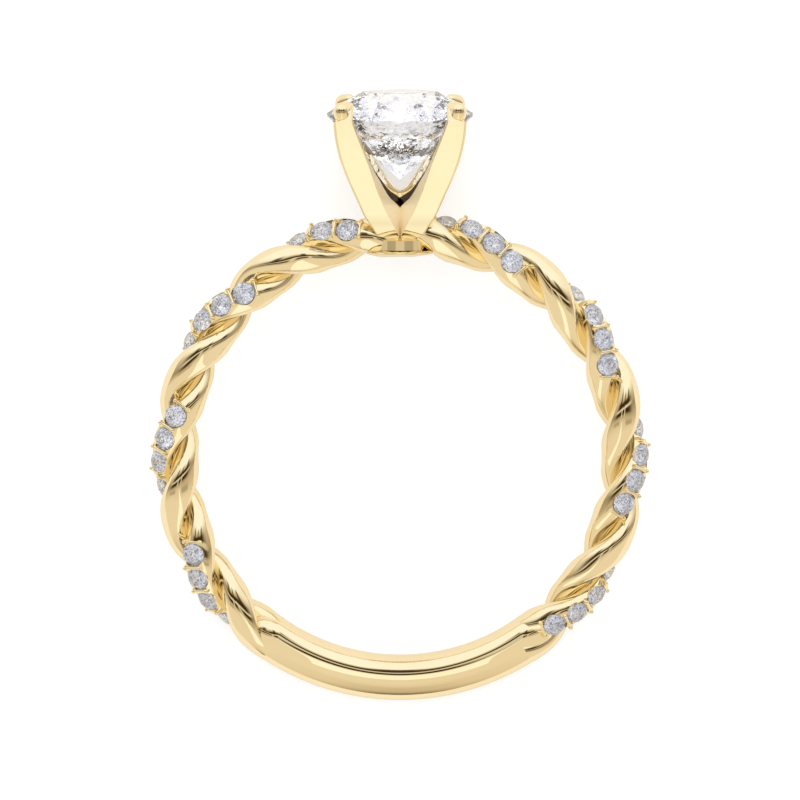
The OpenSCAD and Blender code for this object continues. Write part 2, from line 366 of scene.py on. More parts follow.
def skin(bm, rings):
    """A skin through rings of points, with its ends capped. Gives the faces between them, row by row."""
    loops = [[bm.verts.new(p) for p in ring] for ring in rings]
    made = [[bm.faces.new((corner, high[i], high[(i + 1) % len(high)], low[(i + 1) % len(low)]))
             for i, corner in enumerate(low)] for low, high in zip(loops, loops[1:])]
    bm.faces.new(loops[0])
    bm.faces.new(reversed(loops[-1]))
    return made


def lathe(bm, outline, sides, place=Matrix()):
    """A turned form round Z from (distance, height) pairs that start and end on the axis."""
    ends = [bm.verts.new(place @ Vector((0, 0, outline[i][1]))) for i in (0, -1)]
    rings = [[bm.verts.new(place @ Vector((r * cos(2 * pi * k / sides), r * sin(2 * pi * k / sides), h)))
              for k in range(sides)] for r, h in outline[1:-1]]
    for k in range(sides):
        after = (k + 1) % sides
        bm.faces.new((ends[0], rings[0][after], rings[0][k]))
        bm.faces.new((ends[1], rings[-1][k], rings[-1][after]))
        for low, high in zip(rings, rings[1:]):
            bm.faces.new((low[k], low[after], high[after], high[k]))


def eased(rows, steps):
    """Rows of numbers with steps between each two, on a smooth curve through them all."""
    out = []
    for i in range(len(rows) - 1):
        before, a, b, after = (rows[max(0, min(len(rows) - 1, i + k))] for k in (-1, 0, 1, 2))
        for s in range(steps):
            t = s / steps
            out.append(tuple(
                0.5 * (2 * q + (r - p) * t + (2 * p - 5 * q + 4 * r - w) * t ** 2
                       + (3 * q - p - 3 * r + w) * t ** 3)
                for p, q, r, w in zip(before, a, b, after)))
    out.append(tuple(rows[-1]))
    return out


def rounded(corners, steps):
    """A closed outline from (point, radius) corners, each rounded with an arc of steps."""
    out = []
    for i, (corner, radius) in enumerate(corners):
        to_last = (corners[i - 1][0] - corner).normalized()
        to_next = (corners[(i + 1) % len(corners)][0] - corner).normalized()
        half = to_last.angle(to_next) / 2
        reach = radius / tan(half)
        middle = corner + (to_last + to_next).normalized() * radius / sin(half)
        start, end = ((corner + way * reach - middle).normalized() for way in (to_last, to_next))
        out.extend(middle + start.slerp(end, k / steps) * radius for k in range(steps + 1))
    return out


def fine_polish():
    """Shared group for a worn polish: a slow cloud for tone, and a fine one for gloss and surface."""
    group = bpy.data.node_groups.new("Fine Polish", "ShaderNodeTree")
    group.interface.new_socket("Vector", in_out="INPUT", socket_type="NodeSocketVector")
    for label, kind in (("Tone", "Float"), ("Gloss", "Float"), ("Normal", "Vector")):
        group.interface.new_socket(label, in_out="OUTPUT", socket_type="NodeSocket" + kind)
    start, end = group.nodes.new("NodeGroupInput"), group.nodes.new("NodeGroupOutput")
    where = start.outputs["Vector"]
    tone = add(group, "ShaderNodeTexNoise", {"Vector": where, "Scale": 260.0, "Detail": 2.0})
    fine = add(group, "ShaderNodeTexNoise", {"Vector": where, "Scale": 5200.0, "Detail": 3.0})
    bump = add(group, "ShaderNodeBump",
               {"Height": fine.outputs["Fac"], "Strength": 0.03, "Distance": 0.01 * MM})
    for label, socket in (("Tone", tone.outputs["Fac"]), ("Gloss", fine.outputs["Fac"]),
                          ("Normal", bump.outputs["Normal"])):
        group.links.new(socket, end.inputs[label])
    return group


def new_material(name):
    """The material of a name, with an empty tree to fill if it is new, and None if it was made before."""
    material = bpy.data.materials.get(name)
    if material:
        return material, None
    material = bpy.data.materials.new(name)
    material.use_nodes = True
    material.node_tree.nodes.clear()
    return material, material.node_tree


def surface(tree, looks):
    """Ends a material's tree with its shader."""
    shader = add(tree, "ShaderNodeBsdfPrincipled", looks)
    add(tree, "ShaderNodeOutputMaterial", {"Surface": shader.outputs[0]})


def metal(name, tones, roughness, metallic, cloud, within):
    """Gold in two close tones that a cloud of the shared polish mixes, with a fine change of gloss."""
    material, tree = new_material(name)
    if tree is None:
        return material
    polish = add(tree, "ShaderNodeGroup", {"Vector": add(tree, "ShaderNodeTexCoord").outputs["Object"]},
                 node_tree=bpy.data.node_groups.get("Fine Polish") or fine_polish())
    surface(tree, {"Base Color": mixed(tree, ranged(tree, polish.outputs[cloud], within), *tones),
                   "Metallic": metallic,
                   "Roughness": ranged(tree, polish.outputs["Gloss"], within, roughness),
                   "Normal": polish.outputs["Normal"]})
    return material


def gold(looks):
    """Polished yellow gold with a soft change of tone and a fine worn polish."""
    return metal("Polished Gold", (looks.gold, looks.gold_deep), roughness=(0.03, 0.06), metallic=1.0,
                 cloud="Tone", within=(0.3, 0.7))


def satin_and_painted_shade(name, tone, rough, metallic):
    """Rough gold in the notch between two prongs: satin on the side faces, and painted shade near black on the
    bevels.
    """
    return metal(name, (tone, [0.9 * c for c in tone]), (rough, rough * 1.2), metallic,
                 cloud="Gloss", within=(0.0, 1.0))


def stone(name, looks, cell_scale, share, tilt, clear, top):
    """Cut stone of high refraction, with small cells below a height painted grey, blue and violet as painted
    sparkle.

    The share is that of the cells of painted sparkle, the tilt is how far a cell's face may lean, and clear is
    the part of the light that goes through.
    """
    material, tree = new_material(name)
    if tree is None:
        return material
    where = add(tree, "ShaderNodeTexCoord").outputs["Object"]
    cells = add(tree, "ShaderNodeTexVoronoi", {"Vector": where, "Scale": cell_scale}).outputs["Color"]
    draw = add(tree, "ShaderNodeSeparateColor", {"Color": cells}).outputs[0]
    sparkle_paint = Number(tree, ranged(tree, draw, (SPARKLE_PAINT_FROM - share, SPARKLE_PAINT_TO - share)))
    height = add(tree, "ShaderNodeSeparateXYZ", {0: where}).outputs["Y"]
    lower = Number(tree, ranged(tree, height, (top - 0.1 * MM, top), (1.0, 0.0)))
    lean = add(tree, "ShaderNodeVectorMath", {0: cells, 1: (0.5, 0.5, 0.5)}, operation="SUBTRACT")
    lean = add(tree, "ShaderNodeVectorMath", {0: lean.outputs[0], "Scale": tilt}, operation="SCALE")
    facet = add(tree, "ShaderNodeVectorMath", {0: add(tree, "ShaderNodeNewGeometry").outputs["Normal"],
                                               1: lean.outputs[0]}, operation="ADD")
    facet = add(tree, "ShaderNodeVectorMath", {0: facet.outputs[0]}, operation="NORMALIZE")
    # The cells' colour is painted sparkle: dark blue-grey specks where a cut stone's fire and reflections would
    # show.
    surface(tree, {"Base Color": mixed(tree, sparkle_paint * lower, looks.stone, looks.fire), "Roughness": 0.0,
                   "IOR": REFRACTION, "Transmission Weight": clear, "Normal": facet.outputs[0]})
    return material


def lean_at(place):
    """Lean of a stone's table at a place in the row, between and beyond the whole places too."""
    if place <= ROW[0][0]:
        return ROW[0][1]
    for (a, low), (b, high) in zip(ROW, ROW[1:]):
        if place <= b:
            return low + (high - low) * (place - a) / (b - a)
    return ROW[-1][1]


def seat(ring, group, place):
    """Middle of a seat on the set strand, and the way that its stone faces."""
    shank, stones = ring.shank, ring.stones
    turn = shank.first_crest + 2 * pi / shank.turns * group + stones.shift + stones.pitch * place
    lean = lean_at(place)
    t = shank.turns * (turn - shank.first_crest)
    n, m = shank.thin * cos(lean - t), shank.wide * sin(lean - t)
    length = hypot(n, m)
    n, m = shank.thin * n / length, shank.wide * m / length
    r = shank.line_r + shank.swing * cos(t) + n * cos(t) - m * sin(t)
    z = shank.swing * sin(t) + n * sin(t) + m * cos(t)
    out = on_ring(cos(lean), turn, sin(lean))
    return on_ring(r, turn, z) - stones.sink * out, out


def seats(ring, name, places):
    """Points on the set strand with the directions out of it and along the row."""
    found = []
    for group, place in places:
        middle, out = seat(ring, group, place)
        before, after = (seat(ring, group, place + step)[0] for step in (-0.1, 0.1))
        ahead = after - before
        found.append((middle, out, (ahead - ahead.dot(out) * out).normalized()))
    mesh = bpy.data.meshes.new(name)
    mesh.from_pydata([f[0] for f in found], [], [])
    for label, column in (("out", 1), ("ahead", 2)):
        attribute = mesh.attributes.new(label, "FLOAT_VECTOR", "POINT")
        attribute.data.foreach_set("vector", [x for f in found for x in f[column]])
    return mesh


def stone_places():
    """Row and place of every accent stone."""
    return [(group, place) for group, last in ROWS.items() for place in range(-1, last + 1)]


def bead_places():
    """Row and place of every bar with its beads, between the stones and at both ends of a row."""
    return [(group, i - 1.5) for group, last in ROWS.items() for i in range(last + 3)]


def placed(tree, points, piece):
    """Copies of an object on seats, standing out of the strand and turned along the row."""
    out, ahead = (add(tree, "GeometryNodeInputNamedAttribute", {"Name": label},
                      data_type="FLOAT_VECTOR").outputs[0] for label in ("out", "ahead"))
    way = add(tree, "FunctionNodeAxesToRotation", {0: out, 1: ahead}, primary_axis="Z", secondary_axis="X")
    shape = add(tree, "GeometryNodeObjectInfo", {"Object": piece})
    return add(tree, "GeometryNodeInstanceOnPoints", {
        "Points": points, "Instance": shape.outputs["Geometry"], "Rotation": way.outputs[0]}).outputs[0]


def row_tree():
    """Tree that sets one piece on every seat."""
    tree, given, result = geometry_tree("Pieces in Rows", {"Piece": "Object", "Material": "Material"})
    copies = placed(tree, given["Geometry"], given["Piece"])
    real = add(tree, "GeometryNodeRealizeInstances", {"Geometry": copies})
    paint = add(tree, "GeometryNodeSetMaterial", {"Geometry": real.outputs[0], "Material": given["Material"]})
    tree.links.new(paint.outputs[0], result)
    return tree


def strand_tree():
    """Tree for one strand: an oval that turns as it goes round, cut by the finger hole and the seats."""
    tree, given, result = geometry_tree("Twisted Strand", {
        "Opening": "Object", "Material": "Material", "Sides": "Int", "Sections": "Int", "Reach": "Float",
        "Turns": "Float", "First Crest": "Float", "Start": "Float", "Line Radius": "Float", "Swing": "Float",
        "Half Thickness": "Float", "Half Width": "Float", "Finger Radius": "Float", "Comfort Radius": "Float"})
    size_of = {key: Number(tree, given[key]) for key in given.keys() if given[key].type == "VALUE"}
    tube = add(tree, "GeometryNodeMeshCylinder", {
        "Vertices": given["Sides"], "Side Segments": given["Sections"], "Radius": 1.0, "Depth": 2.0},
        fill_type="NGON")
    here = add(tree, "GeometryNodeInputPosition").outputs[0]
    x, y, z = (Number(tree, s) for s in add(tree, "ShaderNodeSeparateXYZ", {0: here}).outputs)
    round_it = y.math("ARCTAN2", x)
    turn = z * size_of["Reach"]
    t = (turn - size_of["First Crest"]) * size_of["Turns"] + size_of["Start"]
    n, m = round_it.cos() * size_of["Half Thickness"], round_it.sin() * size_of["Half Width"]
    oval_r = size_of["Line Radius"] + size_of["Swing"] * t.cos() + n * t.cos() - m * t.sin()
    side = size_of["Swing"] * t.sin() + n * t.sin() + m * t.cos()
    comfort = size_of["Comfort Radius"]
    hole = size_of["Finger Radius"] + comfort - (comfort * comfort - side * side).math("SQRT")
    r = oval_r.math("MAXIMUM", hole)
    spot = add(tree, "ShaderNodeCombineXYZ", {0: r * turn.sin(), 1: r * turn.cos(), 2: side})
    bent = add(tree, "GeometryNodeSetPosition", {"Geometry": tube.outputs["Mesh"], "Position": spot.outputs[0]})
    openings = placed(tree, given["Geometry"], given["Opening"])
    cut = add(tree, "GeometryNodeMeshBoolean", {"Mesh 1": bent.outputs[0], "Mesh 2": openings},
              operation="DIFFERENCE", solver="MANIFOLD")
    real = add(tree, "GeometryNodeRealizeInstances", {"Geometry": cut.outputs[0]})
    paint = add(tree, "GeometryNodeSetMaterial", {"Geometry": real.outputs[0], "Material": given["Material"]})
    tree.links.new(paint.outputs[0], result)
    return tree


def brilliant(d, sides, table_share, crown_share):
    """A round brilliant cut: a disc cut down by the planes of its table, crown and pavilion."""
    r, edge = d / 2, GIRDLE_SHARE * d
    crown, deep = crown_share * d, PAVILION_SHARE * d + edge
    table = table_share * r
    # The disc reaches past the pavilion's point, so that the planes make the whole of it.
    foot = -deep * 1.2
    bm = bmesh.new()
    lathe(bm, [(0, foot), (r, foot), (r, crown), (0, crown)], sides)
    eighth, sixteenth = cos(pi / 8), cos(pi / 16)
    bezel = atan((crown - edge) / (r - table))
    main = atan((deep - edge) / r)
    rise = (crown - edge) * UPPER_SHARE
    middle = (r - rise / tan(bezel)) / eighth
    star = atan((crown - edge - rise) / (middle - table * eighth))
    upper = atan(rise / (r * sixteenth - middle * sixteenth))
    low_r = LOWER_SHARE * r
    low_h = -deep + (deep - edge) * low_r * eighth / r
    lower = atan((-edge - low_h) / (r * sixteenth - low_r * sixteenth))
    cuts = []
    for k in range(8):
        way = k * pi / 4
        cuts.append((way, (r, edge), bezel, 1))
        cuts.append((way, (r, -edge), main, -1))
        cuts.append((way + pi / 8, (table * eighth, crown), star, 1))
        for half in (-1, 1):
            spin = way + pi / 8 + half * pi / 16
            cuts.append((spin, (r * sixteenth, edge), upper, 1))
            cuts.append((spin, (r * sixteenth, -edge), lower, -1))
    for way, (out, height), slope, side in cuts:
        point = Vector((out * cos(way), out * sin(way), height))
        normal = Vector((sin(slope) * cos(way), sin(slope) * sin(way), side * cos(slope)))
        cut = bmesh.ops.bisect_plane(bm, geom=bm.verts[:] + bm.edges[:] + bm.faces[:], dist=1e-9,
                                     plane_co=point, plane_no=normal, clear_outer=True)
        rim = [g for g in cut["geom_cut"] if isinstance(g, bmesh.types.BMEdge)]
        if rim:
            bmesh.ops.holes_fill(bm, edges=rim)
    return bm


# Camera: angle above the ring's own front, distance in metres, height of its aim above the ring's centre in
# millimetres, and lens and sensor width.
CAMERA_RISE = radians(8.7)
CAMERA_AWAY = 0.19
AIM = 2.447
LENS, SENSOR = 199.2, 36

# Floor: radius and thickness, how much it glows on the ring, to the camera and through a stone, and the tint of
# that glow where the gold mirrors it.
FLOOR_R, FLOOR_DEEP = 0.6, 2 * MM
GLOW_ON_RING, GLOW_SEEN, GLOW_THROUGH = 0.33, 0.54, 0.78
WHITE, WARM = (1, 1, 1), (1, 0.84, 0.63)

# Highest strength of the light. Its tones go into the ramps as shares of this value, so that none is above 1.
LIGHT_TOP = 1.4
# Tones of the light: what the gold mirrors as dark and as pale, what falls on matt surfaces, and what is seen
# through the stones.
DARK_LIGHT, PALE_LIGHT = (0.05, 0.03, 0.01), (0.80, 0.76, 0.66)
ROOM_LIGHT, STONE_LIGHT = (1.08, 1.08, 1.08), (0.95, 0.97, 1.06)
# Light that the gold mirrors, from in front of the ring and from its sides: degrees up towards the head, and
# tone. One turns into the other between the two angles from straight ahead.
BELOW = ((-90, (0.10, 0.07, 0.03)), (-84, (0.18, 0.13, 0.06)), (-76, (0.58, 0.50, 0.37)),
         (-68, (0.79, 0.70, 0.55)), (-56, (0.87, 0.79, 0.66)), (-14, (0.86, 0.78, 0.65)))
FRONT_LIGHT = (*BELOW, (-4, (0.72, 0.63, 0.50)),
               (1, (0.40, 0.32, 0.20)), (3, DARK_LIGHT), (8, (0.04, 0.02, 0.01)),
               (9.5, PALE_LIGHT), (12, PALE_LIGHT), (13.5, DARK_LIGHT),
               (20, DARK_LIGHT), (23, (0.45, 0.38, 0.26)), (29, (0.80, 0.74, 0.62)),
               (34, (1.06, 1.10, 1.14)), (90, (1.05, 1.10, 1.15)))
SIDE_LIGHT = (*BELOW, (-2, (0.60, 0.53, 0.42)),
              (8, (0.36, 0.30, 0.21)), (18, (0.60, 0.54, 0.44)), (30, (0.95, 0.94, 0.90)),
              (45, (1.06, 1.10, 1.15)), (90, (1.05, 1.10, 1.15)))
SIDE_TURN = (35.0, 75.0)
# Dark bars in the front light, the pale gaps beside them, and the faint low bars that the collet mirrors. Each
# has degrees to the right of straight ahead with strength, degrees up with strength, and its tone.
BARS = (
    (((-45, 0.0), (-37, 1.0), (-31, 1.0), (-25, 0.0), (-6, 0.0), (-2, 1.0), (3, 1.0), (7, 0.0),
      (26, 0.0), (32, 1.0), (38, 1.0), (45, 0.0)),
     ((10, 0.0), (15, 0.9), (31, 0.9), (37, 0.0)), DARK_LIGHT),
    (((-13, 0.0), (-10, 1.0), (-7, 1.0), (-4, 0.0), (8, 0.0), (10, 1.0), (13, 1.0), (16, 0.0)),
     ((-2, 0.0), (1, 0.9), (12, 0.9), (15, 0.0)), PALE_LIGHT),
    (((-57, 0.0), (-50, 1.0), (-20, 1.0), (-15, 0.0), (16, 0.0), (20, 1.0), (52, 1.0), (60, 0.0)),
     ((-9, 0.0), (-7, 0.4), (-5, 0.4), (-2, 0.0)), DARK_LIGHT),
)
# Soft sun from the head's side: strength, spread and slant.
KEY_STRENGTH, KEY_SPREAD, KEY_SLANT = 1.3, radians(70), radians(-45)
# Long low card in front that shows only in reflections: size and place in millimetres in the worn ring's
# frame, brightness and colour.
CARD_SIZE, CARD_PLACE = (10, 150), (0, -12.5, 80)
CARD_STRENGTH, CARD_COLOUR = 0.4, (0.60, 0.80, 0.95)


def ramp(tree, at, stops):
    """Strength or colour at an angle within a quarter turn either way, from stops of degrees and strength."""
    node = add(tree, "ShaderNodeValToRGB", {"Fac": at * (1 / 180) + 0.5})
    points = node.color_ramp.elements
    while len(points) < len(stops):
        points.new(1.0)
    for point, (degrees, tone) in zip(points, stops):
        point.position = (degrees + 90) / 180
        point.color = (*tone, 1) if isinstance(tone, tuple) else (tone, tone, tone, 1)
    return Number(tree, node.outputs["Color"])


def part_of_top(tone):
    """A tone of the light as a share of the highest one."""
    return tuple(c / LIGHT_TOP for c in tone)


def studio_light(scene, place):
    """Soft light all round: bright from the head's side, dim just in front, where the camera stands."""
    world = bpy.data.worlds.new("Studio")
    scene.world = world
    world.use_nodes = True
    tree = world.node_tree
    way = add(tree, "ShaderNodeTexCoord").outputs["Generated"]
    turned = place.to_3x3()
    across, head, front = (Number(tree, add(tree, "ShaderNodeVectorMath", {0: way, 1: turned.col[i]},
                                            operation="DOT_PRODUCT").outputs["Value"]) for i in range(3))
    height = head.math("ARCSINE") * (180 / pi)
    azimuth = across.math("ARCTAN2", front) * (180 / pi)
    side = ranged(tree, azimuth.math("ABSOLUTE"), SIDE_TURN, interpolation_type="SMOOTHSTEP")
    light = mixed(tree, side, *(ramp(tree, height, [(degrees, part_of_top(tone)) for degrees, tone in stops])
                                for stops in (FRONT_LIGHT, SIDE_LIGHT)))
    ahead = front.math("GREATER_THAN", 0.0)
    for widths, heights, tone in BARS:
        share = ramp(tree, azimuth, widths) * ramp(tree, height, heights) * ahead
        light = mixed(tree, share, light, part_of_top(tone))
    ray = add(tree, "ShaderNodeLightPath").outputs
    light = mixed(tree, ray["Is Diffuse Ray"], light, part_of_top(ROOM_LIGHT))
    light = mixed(tree, ray["Transmission Depth"], light, part_of_top(STONE_LIGHT))
    lamp = tree.nodes["Background"]
    lamp.inputs["Strength"].default_value = LIGHT_TOP
    tree.links.new(light, lamp.inputs["Color"])


def lamps(scene, place):
    """The soft sun, which no surface mirrors, and the long card, which shows only in reflections."""
    key = bpy.data.lights.new("Key Light", "SUN")
    key.energy, key.angle = KEY_STRENGTH, KEY_SPREAD
    sun = bpy.data.objects.new("Key Light", key)
    sun.rotation_euler = (KEY_SLANT, 0, 0)
    sun.visible_glossy = False
    scene.collection.objects.link(sun)
    card = bpy.data.lights.new("Low Card", "AREA")
    card.shape = "RECTANGLE"
    card.size, card.size_y = mm(*CARD_SIZE)
    card.energy, card.color = CARD_STRENGTH * pi * card.size * card.size_y, CARD_COLOUR
    low = bpy.data.objects.new("Low Card", card)
    low.matrix_world = place @ Matrix.Translation(mm(*CARD_PLACE)) @ Matrix.Rotation(pi / 2, 4, "X")
    low.visible_diffuse = low.visible_transmission = low.visible_camera = False
    scene.collection.objects.link(low)


def set_camera(scene, place):
    """The camera, in front of the lying ring and a little above its own front."""
    middle = place @ Vector((0, 0, 0))
    rise = CAMERA_RISE - place.to_euler().x
    data = bpy.data.cameras.new("Camera")
    data.lens, data.sensor_width = LENS, SENSOR
    data.clip_start, data.clip_end = 0.005, 5
    camera = bpy.data.objects.new("Camera", data)
    scene.collection.objects.link(camera)
    scene.camera = camera
    camera.location = middle + Vector((0, sin(rise), cos(rise))) * CAMERA_AWAY
    aim = middle + Vector((0, cos(rise), -sin(rise))) * AIM * MM
    back = (camera.location - aim).normalized()
    right = Vector((1, 0, 0))
    turn = Matrix((right, back.cross(right), back)).transposed().to_4x4()
    camera.matrix_world = Matrix.Translation(camera.location) @ turn


def pale_floor(looks):
    """Floor that glows a little: warm on the gold, brighter to the camera and clear white through a stone."""
    material, tree = new_material("Pale Floor")
    where = add(tree, "ShaderNodeTexCoord").outputs["Object"]
    grain = add(tree, "ShaderNodeTexNoise", {"Vector": where, "Scale": 900.0, "Detail": 3.0}).outputs["Fac"]
    tone = ranged(tree, grain, (0, 1), (0.97, 1.0))
    paint = add(tree, "ShaderNodeVectorMath", {0: looks.floor, "Scale": tone}, operation="SCALE")
    ray = add(tree, "ShaderNodeLightPath").outputs
    seen = ranged(tree, ray["Is Camera Ray"], (0, 1), (GLOW_ON_RING, GLOW_SEEN))
    glow = ranged(tree, ray["Transmission Depth"], (0, 1), (seen, GLOW_THROUGH))
    tint = mixed(tree, ray["Is Glossy Ray"], WHITE, WARM)
    tint = mixed(tree, ray["Transmission Depth"], tint, WHITE)
    surface(tree, {"Base Color": paint.outputs[0], "Roughness": 0.8, "Specular IOR Level": 0.1,
                   "Emission Color": tint, "Emission Strength": glow})
    return material


class RING_OT_stage(bpy.types.Operator):
    """Makes the camera, the floor and the soft studio light"""

    bl_idname = "ring.stage"
    bl_label = "Camera, Floor and Light"

    def execute(self, context):
        scene = context.scene
        ring = scene.twisted_ring
        place = lie(ring)
        set_camera(scene, place)
        material = pale_floor(ring.looks)
        bm = bmesh.new()
        lathe(bm, [(0, -FLOOR_DEEP), (FLOOR_R, -FLOOR_DEEP), (FLOOR_R, 0), (0, 0)], sides=96)
        from_bmesh("floor", bm, Matrix(), material)
        studio_light(scene, place)
        lamps(scene, place)
        scene.view_settings.view_transform = "Standard"
        return {"FINISHED"}


def seat_outline(stones):
    """Outline of a seat: round on the inner side, and open towards the strand's outer edge."""
    r = stones.accent_d / 2 + SEAT_ROOM * MM
    arc = [SEAT_ANGLE - (pi + 2 * SEAT_ANGLE) * k / SEAT_STEPS for k in range(SEAT_STEPS + 1)]
    round_part = [(r * cos(a), r * sin(a)) for a in arc]
    return round_part + [(round_part[-1][0], SEAT_REACH * MM), (round_part[0][0], SEAT_REACH * MM)]


class RING_OT_strands(bpy.types.Operator):
    """Twists the set strand and the plain strand round the finger, with the seats cut for the accent stones"""

    bl_idname = "ring.strands"
    bl_label = "Twisted Strands"

    def execute(self, context):
        ring = context.scene.twisted_ring
        shank, stones = ring.shank, ring.stones
        tree = strand_tree()
        bm = bmesh.new()
        skin(bm, [[Vector((x * share, y * share, height * MM)) for x, y in seat_outline(stones)]
                  for height, share in SEAT_CUT])
        opening = from_bmesh("opening", bm, Matrix(), gold(ring.looks))
        for name, start in (("set_strand", 0.0), ("plain_strand", pi)):
            made = bake(name, tree, seats(ring, name, stone_places()), {
                "Opening": opening, "Material": gold(ring.looks), "Sides": STRAND_SIDES,
                "Sections": STRAND_SECTIONS, "Reach": pi - shank.plain_half_arc + STRAND_OVERLAP,
                "Turns": float(shank.turns), "First Crest": shank.first_crest, "Start": start,
                "Line Radius": shank.line_r, "Swing": shank.swing, "Half Thickness": shank.thin,
                "Half Width": shank.wide, "Finger Radius": shank.finger_d / 2,
                "Comfort Radius": shank.comfort_r}, lie(ring))
            shade(made.data, SHARP_STRAND)
            finished(made, "gold", "ring_gold")
        bpy.data.objects.remove(opening)
        return {"FINISHED"}


class RING_OT_plain_band(bpy.types.Operator):
    """Sweeps the plain band at the bottom of the ring, domed inside for comfort"""

    bl_idname = "ring.plain_band"
    bl_label = "Plain Band"

    def execute(self, context):
        ring = context.scene.twisted_ring
        shank = ring.shank
        w, r, middle = shank.plain_half_w, shank.plain_r - shank.line_r, shank.line_r
        half = [(share * w, r - depth * MM) for share, depth in eased(PLAIN, steps=6)]
        outline = half + [(-z, rise) for z, rise in reversed(half[1:-1])]
        whole = 360 - 2 * PLAIN_START
        steps = round(whole / PLAIN_STEP)
        ends = [(PLAIN_START - back, share) for back, share in PLAIN_ENDS]
        turns = ends + [(PLAIN_START + whole * k / steps, 1.0) for k in range(1, steps)]
        turns += [(360 - a, share) for a, share in reversed(ends)]
        bm = bmesh.new()
        skin(bm, [[on_ring(max(middle + rise * share, barrel(shank, z * share)), radians(a), z * share)
                   for z, rise in outline] for a, share in turns])
        made = from_bmesh("plain_band", bm, lie(ring), gold(ring.looks), SHARP_BAND)
        finished(made, "gold", "ring_gold")
        return {"FINISHED"}


def prong_ring(row):
    """Section of a prong: flat front and side faces, and the notch's two bevels that meet at the inmost corner.

    Gives each point with the finish of the face that starts there, the outer part of each bevel being painted
    shade.
    """
    height, out, front, inner, back, core = mm(*row)
    corners = [((front, out), SOFT_CORNER), ((out, out), OUTER_CORNER), ((out, front), SOFT_CORNER),
               ((back, inner), SOFT_CORNER), ((core, core), SOFT_CORNER), ((inner, back), SOFT_CORNER)]
    points = rounded([(Vector(point), radius * MM) for point, radius in corners], ARC_STEPS)
    low, high = SHADE_PAINT_HEIGHTS
    # Share of each bevel that is painted near black as painted shade, narrowing towards the top of the notch.
    dark = SHADE_PAINT_SHARE * max(SHADE_PAINT_LEAST, min(1.0, (high - row[0]) / (high - low)))
    notch = SHADE_PAINT if low <= row[0] <= high else POLISHED
    polished, satin = ((finish, [(share, finish) for share in (STRIP, 1 - STRIP)])
                       for finish in (POLISHED, SATIN))
    # Each face between two corners: the finish that it starts with, and where along it the next ones start.
    faces = (polished, polished, satin, (notch, [(dark, POLISHED)]), (POLISHED, [(1 - dark, notch)]), satin)
    found = []
    for i, (first, stops) in enumerate(faces):
        arc = points[i * (ARC_STEPS + 1):(i + 1) * (ARC_STEPS + 1)]
        found += [(p, POLISHED) for p in arc[:-1]] + [(arc[-1], first)]
        after = points[(i + 1) * (ARC_STEPS + 1) % len(points)]
        found += [(arc[-1].lerp(after, share), finish) for share, finish in stops]
    return [(Vector((p.x, height, p.y)), finish) for p, finish in found]


def ball(middle, radii, rings=12, sides=24):
    """Points of an ovoid."""
    found = []
    for i in range(rings + 1):
        a = pi * i / rings
        for k in range(sides if 0 < i < rings else 1):
            b = 2 * pi * k / sides
            found.append(Vector((middle[0] + radii[0] * sin(a) * cos(b), middle[1] + radii[1] * cos(a),
                                 middle[2] + radii[2] * sin(a) * sin(b))))
    return found


def hull(bm, points):
    """The smallest bulging skin round a set of points."""
    corners = [bm.verts.new(p) for p in points]
    made = bmesh.ops.convex_hull(bm, input=corners)
    unused = set(made["geom_interior"]) | set(made["geom_unused"])
    bmesh.ops.delete(bm, geom=[g for g in unused if isinstance(g, bmesh.types.BMVert)], context="VERTS")


def claw(head):
    """Points of a claw's two hulls: the bulb with its tip, and the shoulder that bends over the stone's edge."""
    r = head.claw_r
    bulb = ball(mm(*BULB), (r, BULB_HALF * MM, r))
    tip, core = (ball(mm(*TIP), (share * r,) * 3) for share in (TIP_SHARE, CORE_SHARE))
    foot = [Vector((x * MM, SHOULDER_FOOT * MM, z * MM)) for x, z in SHOULDER]
    return bulb + tip, foot + core


def upright():
    """The turn that points a form made along Z to the head's side."""
    return Matrix.Rotation(-pi / 2, 4, "X")


class RING_OT_head(bpy.types.Operator):
    """Builds the collet, its lip and the four tapered prongs with their claws"""

    bl_idname = "ring.head"
    bl_label = "Head"

    def execute(self, context):
        ring = context.scene.twisted_ring
        head = ring.head
        bm = bmesh.new()
        rows = eased(PRONG, steps=6)
        for quarter in range(4):
            spin = Matrix.Rotation(quarter * pi / 2, 4, "Y")
            sections = [prong_ring(row) for row in rows]
            made = skin(bm, [[spin @ p for p, _ in section] for section in sections])
            for section, faces in zip(sections, made):
                for (_, finish), face in zip(section, faces):
                    face.material_index = finish
            for points in claw(head):
                hull(bm, [spin @ p for p in points])
        foot, top, lip, r = head.collet_foot, head.collet_top, head.lip_r, head.collet_r
        lip_edge = eased([(lip + x * MM, foot + y * MM) for x, y in LIP] + [(r, foot + LIP_TOP * MM)],
                         steps=4)
        dome = eased([(r, top)] + [(x * MM, top + y * MM) for x, y in DOME], steps=4)
        lathe(bm, [(0, foot)] + lip_edge + dome + [(0, dome[-1][1])], sides=96, place=upright())
        made = from_bmesh("head", bm, lie(ring), gold(ring.looks), SHARP_HEAD)
        # The second material is painted shade, near black, for the notch's bevels; the third is satin gold for
        # the side faces.
        made.data.materials.append(satin_and_painted_shade("Painted Recess Shade", ring.looks.painted_shade, rough=0.4, metallic=1.0))
        made.data.materials.append(satin_and_painted_shade("Satin Gold", ring.looks.satin, rough=0.5, metallic=0.5))
        finished(made, "gold", "ring_gold")
        return {"FINISHED"}


